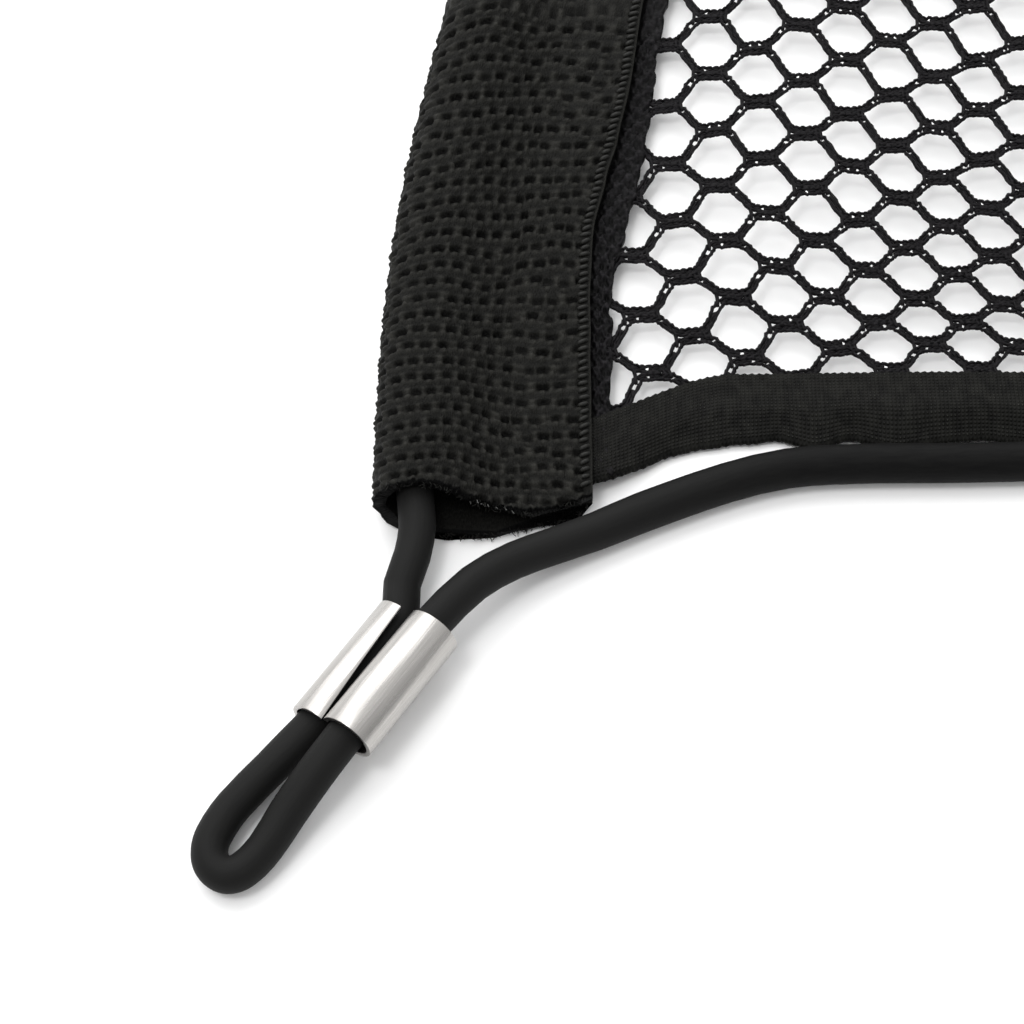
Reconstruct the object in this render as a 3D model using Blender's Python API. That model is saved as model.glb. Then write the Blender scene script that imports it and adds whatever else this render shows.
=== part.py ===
"""Cargo net: knitted mesh between two webbing sleeves, with bound long edges.

An elastic cord runs through both sleeves and along the bound edges. At each corner
it makes a loop, held by a crimped double-barrel ferrule.

X runs along the long edges, Y across the net and Z up from the surface it lies on.
Lengths are in millimetres until a mesh is made. A place is given at the front left
corner, x from the sleeve's fold and y from the sleeve's mouth, and is mirrored for
the other corners.
"""

import math

import bpy
from mathutils import Vector

METRES = 0.001
GAP = 0.3
UP = Vector((0.0, 0.0, 1.0))

# The whole net
NET_LENGTH = 750.0
NET_WIDTH = 250.0

# The webbing that is folded into each sleeve
WEBBING = 1.5
SLEEVE_WIDTH = 27.0
SLEEVE_BOW = 12.5
CREASE = 16.0
CREASE_SWAY = 1.2
CREASE_WAVES = 1.5
BULGE_FLAT = 1.6
LOWER_ACROSS = (SLEEVE_WIDTH, 22.0, 17.0, 12.0, 8.0)
UPPER_ACROSS = (6.4, 8.6, 10.6, 12.6, 14.6, 17.0, 20.0, 23.5, SLEEVE_WIDTH)
FOLD_STEPS = 8
SLEEVE_ROWS = 26

# The knitted mesh, as a plain sheet
MESH = 1.0
MESH_IN_SLEEVE = 9.0
MESH_OFF_FOLD = 1.5
MESH_ROWS = 13
STATIONS = 46
SETTLE_FROM_SLEEVE = 24.0
SETTLE_FROM_TAPE = 20.0

# The narrow tape folded over each long edge
TAPE = 1.0
TAPE_WIDTH = 9.0
TAPE_START = 5.5
TAPE_INSET = 8.1
TAPE_BEND = (21.0, 45.0)
TAPE_BOW = 5.0
TAPE_SETTLE = 12.0
TAPE_LIFT = 1.0
TAPE_LIFT_LENGTH = 75.0
TAPE_FOLD_STEPS = 5

# The elastic cord
CORD = 5.0
CORD_X = 4.8
CORD_END = 12.0
CORD_OFF_TAPE = 4.3
CORD_SWAY = 0.7
CORD_WAVES = 3
RUN_STEPS = 13
SLEEVE_STEPS = 8
MOST_TURN = math.radians(26.0)
MOST_STEP = 60.0

# The ferrule: a strip bent round both strands of a loop
STRIP = 0.6
FERRULE_LENGTH = 17.0
BARREL = CORD / 2 + GAP + STRIP / 2
BARREL_PITCH = 5.4
BARREL_LEAD = 0.6
BARREL_INSIDE = 2.5
BARREL_STEPS = 9
CURL_STEPS = 3
FERRULE_HEADING = math.radians(-125.3)
FERRULE_ROLL = math.radians(30.0)
FERRULE_RISE = BARREL_PITCH / 2 * math.sin(FERRULE_ROLL)
FERRULE_MIDDLE = Vector((1.0, -21.2, BARREL + STRIP / 2 + FERRULE_RISE))
CURL_WIDE = math.radians(118.0)
CURL_TIGHT = math.radians(139.0)

# The slack mesh's soft folds: each a wave that stands on the surface
MESH_FOLDS = (
    # height, length, share along X, share along Y, phase
    (3.4, 190.0, 1.0, 0.5, 1.24),
    (2.6, 148.0, -0.45, 1.0, 0.4),
    (1.8, 97.0, 0.9, -0.5, 2.6),
)

# How far each layer of the webbing is cut back from the mouth line
MOUTH_CUT = (
    # across, lower, upper
    (0.0, 2.2, 3.0),
    (4.0, 1.0, 3.3),
    (8.0, 0.0, 3.5),
    (13.0, 0.0, 2.6),
    (19.5, 1.4, 1.5),
    (27.0, 3.4, 4.3),
)

# The cord between the sleeve's mouth and its ferrule, by x, y and z
MOUTH_ROUTE = (
    (5.1, 4.0, 4.3),
    (5.3, -0.5, 4.3),
    (5.1, -4.5, 4.0),
    (4.7, -8.4, 3.7),
)
# The loop, from the low barrel round to the high one
LOOP_ROUTE = (
    (-10.5, -31.9, 2.9),
    (-14.6, -36.9, 2.6),
    (-16.8, -40.2, 2.5),
    (-17.0, -42.8, 2.5),
    (-15.2, -44.7, 2.5),
    (-12.7, -44.3, 2.5),
    (-10.8, -41.8, 2.8),
    (-8.5, -38.2, 3.7),
    (-5.6, -33.8, 5.2),
)
# From the high barrel to the run along the tape
RUN_ROUTE = (
    (12.6, -9.5, 5.4),
    (17.4, -5.7, 4.2),
    (21.8, -2.9, 3.4),
    (27.1, -0.1, 2.7),
    (33.2, 2.6, 2.5),
    (43.6, 6.6, 2.5),
    (50.9, 8.8, 2.5),
)

LAYER_LOW = WEBBING / 2
MESH_IN_WEBBING = WEBBING + GAP + MESH / 2
LAYER_HIGH = 2 * MESH_IN_WEBBING - LAYER_LOW
CORD_IN_SLEEVE = WEBBING + GAP + CORD / 2
FOLD_RADIUS = CORD_IN_SLEEVE - LAYER_LOW
MESH_IN_TAPE = TAPE + GAP + MESH / 2
TAPE_RADIUS = MESH_IN_TAPE - TAPE / 2


def ease(t):
    """A smooth step from 0 to 1."""
    t = min(1.0, max(0.0, t))
    return t * t * (3 - 2 * t)


def mix(a, b, share):
    return a + (b - a) * share


def from_table(rows, x, column):
    """A column of a table whose first column rises, read at x."""
    for low, high in zip(rows, rows[1:]):
        if x <= high[0]:
            share = max(0.0, (x - low[0]) / (high[0] - low[0]))
            return mix(low[column], high[column], share)
    return rows[-1][column]


def place(x, y, z, right=False, back=False):
    """A place at the front left corner, or at the one that mirrors it, about the net's middle."""
    along = x - NET_LENGTH / 2
    across = y - NET_WIDTH / 2
    return Vector((-along if right else along, -across if back else across, z))


def material(name, colour, roughness, metallic=0.0):
    made = bpy.data.materials.new(name)
    made.use_nodes = True
    shader = made.node_tree.nodes["Principled BSDF"]
    shader.inputs["Base Color"].default_value = (*colour, 1.0)
    shader.inputs["Roughness"].default_value = roughness
    shader.inputs["Metallic"].default_value = metallic
    return made


def add_object(name, data, finish):
    made = bpy.data.objects.new(name, data)
    data.materials.append(finish)
    bpy.context.scene.collection.objects.link(made)
    return made


def cloth(name, rows, thickness, finish):
    """A closed sheet with rows of points on its middle surface."""
    width = len(rows[0])
    points = [point * METRES for row in rows for point in row]
    faces = [
        (k, k + 1, k + width + 1, k + width)
        for row in range(len(rows) - 1)
        for k in range(row * width, (row + 1) * width - 1)
    ]
    mesh = bpy.data.meshes.new(name)
    mesh.from_pydata(points, [], faces)
    mesh.shade_smooth()
    made = add_object(name, mesh, finish)
    solid = made.modifiers.new("Thickness", "SOLIDIFY")
    solid.thickness = thickness * METRES
    solid.offset = 0.0
    solid.use_even_offset = True
    return made


# Sleeves


def sleeve_bow(y):
    """How far the slack net draws the sleeve inwards at y."""
    return SLEEVE_BOW * math.sin(math.pi * y / NET_WIDTH) ** 3


def upper_height(x, crease):
    """The upper layer's height, falling from over the cord to the stitched edge."""
    top = CORD_IN_SLEEVE + FOLD_RADIUS
    start = CORD_IN_SLEEVE + BULGE_FLAT
    return mix(top, LAYER_HIGH, ease((x - start) / (crease - start)))


def sleeve_section(crease):
    """Points round the folded webbing: x, z and how far each is cut back."""
    points = []
    for x in LOWER_ACROSS:
        points.append((x, LAYER_LOW, from_table(MOUTH_CUT, x, 1)))
    for step in range(FOLD_STEPS + 1):
        share = step / FOLD_STEPS
        angle = math.radians(270.0 - 180.0 * share)
        x = CORD_IN_SLEEVE + FOLD_RADIUS * math.cos(angle)
        z = CORD_IN_SLEEVE + FOLD_RADIUS * math.sin(angle)
        cut = mix(from_table(MOUTH_CUT, x, 1), from_table(MOUTH_CUT, x, 2), share)
        points.append((x, z, cut))
    for x in UPPER_ACROSS:
        points.append((x, upper_height(x, crease), from_table(MOUTH_CUT, x, 2)))
    return points


def make_sleeve(name, right, finish):
    rows = []
    for row in range(SLEEVE_ROWS + 1):
        share = row / SLEEVE_ROWS
        sway = CREASE_SWAY * math.sin(2 * math.pi * CREASE_WAVES * share)
        line = []
        for x, z, cut in sleeve_section(CREASE + sway):
            y = mix(cut, NET_WIDTH - cut, share)
            line.append(place(x + sleeve_bow(y), y, z, right))
        rows.append(line)
    cloth(name, rows, WEBBING, finish)


# Mesh and tape share their stations along X, so that they bend as one


def station(number):
    """A station's distance from the left sleeve's stitched edge, closer at the ends."""
    share = number / STATIONS
    clustered = (1 - math.cos(math.pi * share)) / 2
    return (NET_LENGTH - 2 * SLEEVE_WIDTH) * (share + clustered) / 2


def station_x(number, y, gap=0.0):
    """Where a station crosses y, between sleeves that bow."""
    bow = sleeve_bow(y)
    share = station(number) / (NET_LENGTH - 2 * SLEEVE_WIDTH)
    first = SLEEVE_WIDTH + bow + gap
    return mix(first, NET_LENGTH - first, share)


def tape_edge(x):
    """The front tape's outer edge at x, drawn in past the corner and a little at the middle."""
    start, end = TAPE_BEND
    turn = TAPE_INSET * ease((min(x, NET_LENGTH - x) - start) / (end - start))
    return TAPE_START + turn + TAPE_BOW * math.sin(math.pi * x / NET_LENGTH) ** 4


def edge_height(number):
    """The mesh's height inside the tape, level with the sleeves' gap at both ends."""
    x = station(number)
    x = min(x, NET_LENGTH - 2 * SLEEVE_WIDTH - x)
    rise = (MESH_IN_WEBBING - MESH_IN_TAPE) * (1 - ease(x / TAPE_SETTLE))
    ripple = TAPE_LIFT * math.sin(math.pi * x / TAPE_LIFT_LENGTH) ** 2
    return MESH_IN_TAPE + rise + ripple * ease(x / TAPE_LIFT_LENGTH)


def fold_height(x, y):
    """How high the slack mesh stands off the surface."""
    total = 0.0
    for height, length, along, across, phase in MESH_FOLDS:
        turn = 2 * math.pi * (along * x + across * y) / length + phase
        total += height * (1 + math.sin(turn)) / 2
    return total


def mesh_height(number, x, y):
    """The mesh's height: held at its edges, and settling in folds between them."""
    edge = tape_edge(SLEEVE_WIDTH + station(number))
    from_sleeve = min(x, NET_LENGTH - x) - SLEEVE_WIDTH - sleeve_bow(y)
    from_tape = min(y, NET_WIDTH - y) - edge - TAPE_WIDTH
    settled = ease(from_sleeve / SETTLE_FROM_SLEEVE) * ease(from_tape / SETTLE_FROM_TAPE)
    return mix(edge_height(number), MESH / 2 + fold_height(x, y), settled)


def make_mesh(finish):
    rows = []
    for column in range(-1, STATIONS + 2):
        number = min(STATIONS, max(0, column))
        tucked = MESH_IN_SLEEVE * (column - number)
        edge = tape_edge(SLEEVE_WIDTH + station(number))
        bound = edge + TAPE_WIDTH
        free = [mix(bound, NET_WIDTH - bound, row / MESH_ROWS) for row in range(MESH_ROWS + 1)]
        line = []
        for y in (edge + MESH_OFF_FOLD, *free, NET_WIDTH - edge - MESH_OFF_FOLD):
            x = station_x(number, y)
            line.append(place(x + tucked, y, mesh_height(number, x, y)))
        rows.append(line)
    cloth("net", rows, MESH, finish)


def tape_section():
    """Points round the folded tape: distance from its outer edge, and height."""
    points = [(TAPE_WIDTH, -TAPE_RADIUS)]
    for step in range(TAPE_FOLD_STEPS + 1):
        angle = mix(1.5 * math.pi, 0.5 * math.pi, step / TAPE_FOLD_STEPS)
        points.append((TAPE_RADIUS * (1 + math.cos(angle)), TAPE_RADIUS * math.sin(angle)))
    points.append((TAPE_WIDTH, TAPE_RADIUS))
    return points


def make_tape(name, back, finish):
    rows = []
    for number in range(STATIONS + 1):
        edge = tape_edge(SLEEVE_WIDTH + station(number))
        line = []
        for distance, height in tape_section():
            y = edge + distance
            x = station_x(number, y, GAP)
            line.append(place(x, y, edge_height(number) + height, back=back))
        rows.append(line)
    cloth(name, rows, TAPE, finish)


# Cord


def curve_through(points):
    """Points on a smooth curve through the route's points, closer where it turns."""
    ends = [2 * points[0] - points[1], *points, 2 * points[-1] - points[-2]]
    smooth = []
    for before, start, end, after in zip(ends, ends[1:], ends[2:], ends[3:]):
        length = (end - start).length
        leave = (end - before) * (length / (length + (start - before).length))
        reach = (after - start) * (length / (length + (after - end).length))
        turns = leave.angle(reach) / MOST_TURN
        steps = math.ceil(max(turns, length / MOST_STEP))
        for step in range(steps):
            t = step / steps
            smooth.append(
                start * (2 * t**3 - 3 * t**2 + 1)
                + end * (3 * t**2 - 2 * t**3)
                + leave * (t**3 - 2 * t**2 + t)
                + reach * (t**3 - t**2)
            )
    return [*smooth, points[-1]]


def make_cord(name, route, finish):
    curve = bpy.data.curves.new(name, "CURVE")
    curve.dimensions = "3D"
    curve.bevel_depth = CORD / 2 * METRES
    curve.bevel_resolution = 2
    curve.use_fill_caps = True
    points = curve_through(route)
    spline = curve.splines.new("POLY")
    spline.points.add(len(points) - 1)
    for target, point in zip(spline.points, points):
        target.co = (*(point * METRES), 1.0)
    spline.use_smooth = True
    return add_object(name, curve, finish)


def ferrule_axes():
    """Unit vectors along the ferrule towards the loop, across its barrels, and off its back."""
    along = Vector((math.cos(FERRULE_HEADING), math.sin(FERRULE_HEADING), 0.0))
    across = UP.cross(along) * math.cos(FERRULE_ROLL) + UP * math.sin(FERRULE_ROLL)
    return along, across, along.cross(across)


def barrel_point(side, distance):
    """A point on a barrel's axis: side -1 is the low one, distance from the middle."""
    along, across, _ = ferrule_axes()
    return FERRULE_MIDDLE + across * (side * BARREL_PITCH / 2) + along * distance


def corner_route():
    """The cord's way from inside the sleeve round the loop to the run along the tape."""
    outside = FERRULE_LENGTH / 2 + BARREL_LEAD
    inside = FERRULE_LENGTH / 2 - BARREL_INSIDE
    stops = (-outside, -inside, inside, outside)
    down = [barrel_point(-1, stop) for stop in stops]
    up = [barrel_point(1, -stop) for stop in stops]
    start = Vector((CORD_X, CORD_END, CORD_IN_SLEEVE))
    mouth, loop, run = ([Vector(p) for p in r] for r in (MOUTH_ROUTE, LOOP_ROUTE, RUN_ROUTE))
    return [start, *mouth, *down, *loop, *up, *run]


def side_route(back):
    """A long side's cord, from inside one sleeve to inside the other."""
    corner = corner_route()
    first = corner[-1].x
    run = []
    for step in range(1, RUN_STEPS):
        share = step / RUN_STEPS
        x = mix(first, NET_LENGTH - first, share)
        sway = CORD_SWAY * math.sin(2 * math.pi * CORD_WAVES * share)
        run.append(Vector((x, tape_edge(x) - CORD_OFF_TAPE + sway, CORD / 2)))
    left = [place(*p, back=back) for p in corner + run]
    right = [place(*p, right=True, back=back) for p in reversed(corner)]
    return left + right


def sleeve_route(right):
    """The stretch of cord inside a sleeve."""
    first = CORD_END + GAP
    ys = [mix(first, NET_WIDTH - first, step / SLEEVE_STEPS) for step in range(SLEEVE_STEPS + 1)]
    return [place(CORD_X + sleeve_bow(y), y, CORD_IN_SLEEVE, right) for y in ys]


# Ferrules


def strip_section(curl):
    """Half of the bent strip, from its flat back's middle to its curled edge."""
    points = [(0.0, -BARREL)]
    for step in range(BARREL_STEPS + 1):
        angle = mix(-math.pi / 2, curl, step / BARREL_STEPS)
        points.append((BARREL_PITCH / 2 + BARREL * math.cos(angle), BARREL * math.sin(angle)))
    return points


def make_ferrule(name, right, back, finish):
    along, across, off = ferrule_axes()
    rows = []
    for step in range(CURL_STEPS + 1):
        share = step / CURL_STEPS
        half = strip_section(mix(CURL_WIDE, CURL_TIGHT, share))
        section = [(-u, v) for u, v in reversed(half[1:])] + half
        middle = FERRULE_MIDDLE + along * ((share - 0.5) * FERRULE_LENGTH)
        line = [middle + across * u + off * v for u, v in section]
        rows.append([place(*p, right, back) for p in line])
    return cloth(name, rows, STRIP, finish)


def main():
    for old in list(bpy.data.objects):
        bpy.data.objects.remove(old)
    webbing = material("webbing", (0.022, 0.022, 0.021), 0.85)
    knitted = material("mesh", (0.016, 0.015, 0.018), 0.8)
    tape = material("tape", (0.02, 0.02, 0.02), 0.8)
    elastic = material("elastic", (0.018, 0.018, 0.019), 0.6)
    metal = material("metal", (0.72, 0.7, 0.68), 0.25, 1.0)

    make_mesh(knitted)
    for name, right in (("sleeve_left", False), ("sleeve_right", True)):
        make_sleeve(name, right, webbing)
    for name, back in (("binding_front", False), ("binding_back", True)):
        make_tape(name, back, tape)
    for name, back in (("cord_front", False), ("cord_back", True)):
        make_cord(name, side_route(back), elastic)
    for name, right in (("cord_left", False), ("cord_right", True)):
        make_cord(name, sleeve_route(right), elastic)
    for row, back in (("front", False), ("back", True)):
        for side, right in (("left", False), ("right", True)):
            make_ferrule(f"ferrule_{row}_{side}", right, back, metal)


main()
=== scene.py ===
"""Looks of the cargo net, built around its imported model.

Lengths are in millimetres until a mesh is made. A place is given at the front left
corner, x from the sleeve's fold and y from the sleeve's mouth, and is mirrored for
the other corners. An array of places has x, y and z last.
"""

import math

import bpy
import numpy as np
from mathutils import Matrix, Vector
from numpy.polynomial.polynomial import polyval2d

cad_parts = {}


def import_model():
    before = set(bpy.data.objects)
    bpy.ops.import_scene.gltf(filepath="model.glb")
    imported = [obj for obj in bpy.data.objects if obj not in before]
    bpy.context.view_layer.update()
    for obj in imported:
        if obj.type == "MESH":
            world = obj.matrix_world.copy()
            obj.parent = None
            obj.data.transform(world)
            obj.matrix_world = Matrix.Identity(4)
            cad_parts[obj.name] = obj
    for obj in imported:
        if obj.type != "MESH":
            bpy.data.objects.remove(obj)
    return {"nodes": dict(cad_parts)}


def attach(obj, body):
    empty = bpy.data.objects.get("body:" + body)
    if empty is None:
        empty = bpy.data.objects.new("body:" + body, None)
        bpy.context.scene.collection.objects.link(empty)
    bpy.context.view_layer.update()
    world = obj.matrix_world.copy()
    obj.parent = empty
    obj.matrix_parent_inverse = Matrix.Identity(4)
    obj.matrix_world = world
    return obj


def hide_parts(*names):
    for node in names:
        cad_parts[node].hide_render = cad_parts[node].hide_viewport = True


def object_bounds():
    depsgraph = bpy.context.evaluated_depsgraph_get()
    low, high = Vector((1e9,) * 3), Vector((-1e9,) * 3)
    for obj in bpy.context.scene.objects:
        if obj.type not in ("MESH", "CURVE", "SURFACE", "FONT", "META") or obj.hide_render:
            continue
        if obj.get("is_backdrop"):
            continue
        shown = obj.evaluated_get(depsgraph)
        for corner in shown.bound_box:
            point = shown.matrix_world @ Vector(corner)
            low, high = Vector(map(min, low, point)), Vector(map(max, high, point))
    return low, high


METRES = 0.001
TURN = 2 * math.pi
UP = Vector((0.0, 0.0, 1.0))

# Seeded unevenness of the webbing's rows and pits, and of the knit's bars and openings
RANDOM = np.random.default_rng(31)
ROW_SHIFTS = RANDOM.uniform(-1, 1, 64)
PIT_SHIFTS = RANDOM.uniform(-1, 1, (4, 64, 64))
KNIT_SHIFTS = RANDOM.uniform(-1, 1, (3, 160, 64))
OPENING_LUCK = RANDOM.uniform(0, 1, (4, 32, 64))

# The camera, at the photograph's angle
CAMERA_FOV = math.radians(24.0)
CAMERA_ELEVATION = math.radians(60.0)
CAMERA_AIM = Vector((-0.358, -0.1211, 0.0))
CAMERA_DISTANCE = 0.2987

# The sky's brighter side, and its strength by how near to that side it is
SKY_BRIGHT = (-0.2, 0.5, 0.85)
SKY_LIGHT = {"From Min": -0.6, "From Max": 1.0, "To Min": 0.4, "To Max": 1.15}
LAMPS = (
    # name, direction, distance, size, power
    ("window", (-0.3, 0.85, 0.9), 2.2, 2.4, 40.0),
    ("soft box", (-0.3, -0.12, 1.0), 2.0, 0.5, 10.0),
)
FLOOR_SIZE = 8.0
FLOOR_HEIGHT = -0.00005

FABRICS = {
    # dark and light colour, its noise's stretch and scale, relief in metres, roughness, shine
    "Webbing": (
        (0.0018, 0.0018, 0.0015), (0.0066, 0.0065, 0.0055), (3.2, 1.4, 1.0), 1.6, 0.00022, 0.6, 0.08
    ),
    "Tape": (
        (0.0022, 0.0022, 0.0018), (0.0078, 0.0078, 0.0066), (1.0, 0.6, 1.0), 0.8, 0.00012, 0.6, 0.09
    ),
    "Elastic": (
        (0.0015, 0.0015, 0.0016), (0.0032, 0.0032, 0.0031), (0.35, 30.0, 1.0), 1.0, 0.00004, 0.62, 0.1
    ),
    "Yarn": (
        (0.0012, 0.0011, 0.0015), (0.0138, 0.0127, 0.0142), (0.9, 2.4, 1.0), 1.5, 0.00014, 0.55, 0.075
    ),
    "Thread": (
        (0.0035, 0.0035, 0.003), (0.0125, 0.0125, 0.0107), (3.0, 2.0, 1.0), 2.0, 0.00005, 0.5, 0.2
    ),
    # Cut thread ends, glossy and painted a lighter grey as glints
    "Clear thread": (
        (0.025, 0.025, 0.024), (0.12, 0.12, 0.115), (2.0, 2.0, 1.0), 2.0, 0.00002, 0.25, 0.6
    ),
}

# The whole net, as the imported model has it
GAP = 0.3
NET_LENGTH = 750.0
NET_WIDTH = 250.0

# Webbing and sleeves
WEBBING = 1.5
SLEEVE_WIDTH = 27.0
SLEEVE_BOW = 12.5
CREASE = 16.0
CREASE_SWAY = 1.2
CREASE_WAVES = 1.5
BULGE_FLAT = 1.6
MOUTH_CUT = np.array((
    # across, lower layer, upper layer
    (0.0, 2.2, 3.0), (4.0, 1.0, 3.3), (8.0, 0.0, 3.5), (13.0, 0.0, 2.6), (19.5, 1.4, 1.5),
    (22.5, 2.1, 2.4), (24.6, 2.0, 3.1), (27.0, 5.2, 4.3),
))
MOUTH_RAGGED = 0.22
MOUTH_RAGGED_TO = 1.2

# Knitted mesh
MESH = 1.0
MESH_LENGTH = NET_LENGTH - 2 * SLEEVE_WIDTH
SETTLE_FROM_SLEEVE = 24.0
SETTLE_FROM_TAPE = 20.0
MESH_FOLDS = (
    # height, length, share along X, share along Y, phase
    (3.4, 190.0, 1.0, 0.5, 1.24),
    (2.6, 148.0, -0.45, 1.0, 0.4),
    (1.8, 97.0, 0.9, -0.5, 2.6),
)

# Binding tape
TAPE = 1.0
TAPE_WIDTH = 9.0
TAPE_START = 5.5
TAPE_INSET = 8.1
TAPE_BEND = (21.0, 45.0)
TAPE_BOW = 5.0
TAPE_SETTLE = 12.0
TAPE_LIFT = 1.0
TAPE_LIFT_LENGTH = 75.0

# Elastic cord
CORD = 5.0
CORD_X = 4.8
CORD_END = 12.0
CORD_OFF_TAPE = 4.3
CORD_SWAY = 0.7
CORD_WAVES = 3
RUN_STEPS = 13
MOST_TURN = math.radians(6.0)
MOST_STEP = 4.0
CORD_SIDES = 24
CORD_DRAWN = 0.915
CORD_EASES = (22.0, 34.0)
LOOP_SQUEEZE = 0.94
LOOP_EASES = (8.0, 11.0)
# Where the cord's painted light fades: lighter at the corner loops, darker along the run beside the
# tape, where shade falls
PAINTED_LOOP_LIGHT_FADE = (18.0, 62.0)
MOUTH_ROUTE = (
    (5.1, 4.0, 4.3), (5.5, -0.5, 4.3), (4.95, -4.5, 4.0), (3.8, -8.3, 3.7),
)
LOOP_ROUTE = (
    (-10.8, -31.8, 2.9), (-15.0, -36.6, 2.6), (-17.0, -40.1, 2.5), (-17.35, -42.3, 2.5),
    (-16.7, -44.0, 2.5), (-15.1, -44.9, 2.5), (-13.3, -44.2, 2.5), (-11.0, -41.7, 2.8),
    (-8.6, -37.9, 3.7), (-5.6, -33.8, 5.2),
)
RUN_ROUTE = (
    (12.4, -9.05, 5.4), (17.2, -5.3, 4.2), (21.9, -2.9, 3.4), (27.2, -0.4, 2.7), (33.2, 2.5, 2.5),
    (43.6, 6.65, 2.5), (51.2, 8.7, 2.5), (59.5, 9.35, 2.5), (72.0, 9.5, 2.5),
)
RUN_FROM = 50.9

# Ferrules
STRIP = 0.6
FERRULE_LENGTH = 17.0
BARREL = CORD / 2 + GAP + STRIP / 2
BARREL_OFF = 2.7
BARREL_LEAD = 0.6
BARREL_INSIDE = 2.5
BARREL_STEPS = 20
CORD_LEAN = 0.45
CORD_LEAN_OUT = 0.95
FERRULE_HEADING = math.radians(-125.3)
FERRULE_ROLL = math.radians(30.0)
FERRULE_RISE = BARREL_OFF * math.sin(FERRULE_ROLL)
FERRULE_MIDDLE = Vector((1.0, -21.2, BARREL + STRIP / 2 + FERRULE_RISE))
FERRULE_BEVEL = 0.12
CURL_WIDE = math.radians(118.0)
CURL_TIGHT = math.radians(139.0)
UV_APART = 20.0

# The webbing's weave: a pit at each place where a weft dips, painted dark as shade, raised
# bars between, painted lighter as highlight, a groove along each row, painted dark as shade,
# and a block of thread beside each pit, painted lighter. Sizes across it are in
# millimetres, and those along it in rows.
PIT_PITCH = 2.12
PIT_ROW = 2.38
PIT_OFFSET = 0.3
PIT_HALF = 0.7
PIT_DEPTH = 0.8
PIT_JITTER = 0.24
PIT_REACH = (0.1, 0.5)
PIT_TOP = (0.1, 0.22)
PIT_UNEVEN = (0.12, 0.18, 0.06, 0.25)
GROOVE = 0.4
GROOVE_HALF = 0.08
GROOVE_AT = -0.02
ROW_SPREAD = 0.0035
BLOCK = (0.36, -0.3, 0.17)
BLOCK_SHARE = 0.8
BAR_RISE = 0.46
BAR_REACH = 0.34
BAR_UNEVEN = (0.8, 0.35)
LUMP_RISE = 0.16
ROW_RISE = 0.1
ROW_TOP = 0.36
WEAVE_SUNK = 0.12
EDGE_DRAWN_IN = 0.8
# Painted highlight along the webbing's stitched edge
EDGE_PAINTED_HIGHLIGHT = 0.7
EDGE_PLAIN = (0.7, 1.7)

# How the weave strays. A wave has a height, and its radians in a millimetre across and along.
ROW_SWEEP = 0.3
ROW_SWEEP_TO = 40.0
WARP = ((0.35, 1 / 4.3, 1 / 9.0), (0.25, 1 / 2.1, -1 / 6.0))
DRIFT = ((0.5, 1 / 9.0, 1 / 7.0),)
WILD_ACROSS = (36.0, 46.0)
WILD_ALONG = (30.0, 55.0)
WILD_FAR = 0.8
WILD_WAVES = ((0.25, 1 / 3.0, 1 / 5.0),)

# How closely the sleeves are made
FINE_STEP = 0.225
PLAIN_STEP = 0.8
LOWER_STEP = 2.0
FOLD_UNDER = 0.45 * math.pi
SHOWN_ACROSS = 78.0
INNER_EVERY = 6

# The row of stitches that closes a sleeve
SEAM_SWAY = np.array((
    # place along the sleeve, how far the seam lies out of its line
    (0.0, 0.7), (17.0, 0.6), (26.0, 0.35), (36.0, -0.1), (44.0, -0.35), (52.5, 0.4), (59.0, 1.1),
    (68.0, 1.4), (83.0, 0.9), (125.0, 0.4),
))
STITCH_START = 5.2
STITCH_INSET = 1.75
STITCH_PITCH = 1.05
STITCH_HALF = 0.66
STITCH_SLANT = 0.26
STITCH_SUNK = 0.25
STITCH_ARCH = 0.34
STITCH_TAPER = 0.45
STITCH_LUCK = ((-0.1, 0.1), (0.6, 1.4), (0.85, 1.1))
THREAD = 0.33

# Loose ends at the mouth: frayed yarn, and cut thread ends painted lighter as glints
LOOSE_ENDS = (
    # name, finish, count, on the upper layer, span across, shortest, longest, thickness
    ("fray_upper", "Thread", 130, True, (1.0, 26.0), 0.25, 0.8, 0.07),
    ("fray_lower", "Thread", 130, False, (8.0, 26.5), 0.25, 0.8, 0.07),
    # Cut thread ends in the lighter finish: painted glints
    ("thread_ends", "Clear thread", 11, True, (11.5, 18.5), 0.3, 0.6, 0.11),
)
END_ROOTS = (0.0, 0.3, 0.55)
END_HEADINGS = (-2.5, -0.64)
END_BEND = 0.6
END_RISE = 0.15

# The knit: chains of loops that meet in bars, in columns along the net
COLUMNS = 110
COLUMN_START = 44.0
COLUMN_PITCH = (NET_LENGTH - 2 * COLUMN_START) / COLUMNS
FIRST_ROW = -0.87
MIDDLE_ROW = 10.3
ROW_CROWDING = 0.12
KNIT_LIMITS = (8.0, 6.0)
KNIT_BEYOND = -0.4
KNIT_FADE = 30.0
# Shifts of the knit: rows are powers of the column's share, their items powers of the row's
KNIT_ALONG = ((2.39, -7.15, 5.73), (-0.04, 2.42, 0.0), (-2.38, 0.0, 0.0))
KNIT_ACROSS = ((0.09, 0.18, 4.58), (4.17, -12.21, 0.0), (-5.13, 0.0, 0.0))
SELVEDGE = 1.0
SELVEDGE_SINK = 4.0
KNIT_TUCK = 2.5
BAR_HALF = 1.72
BAR_JITTER = 0.22
BAR_TILT = 0.13
CHAIN_APART = 0.6
PER_COLUMN = 28
SPARE_COLUMNS = 6
ROUNDING = 7

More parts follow.
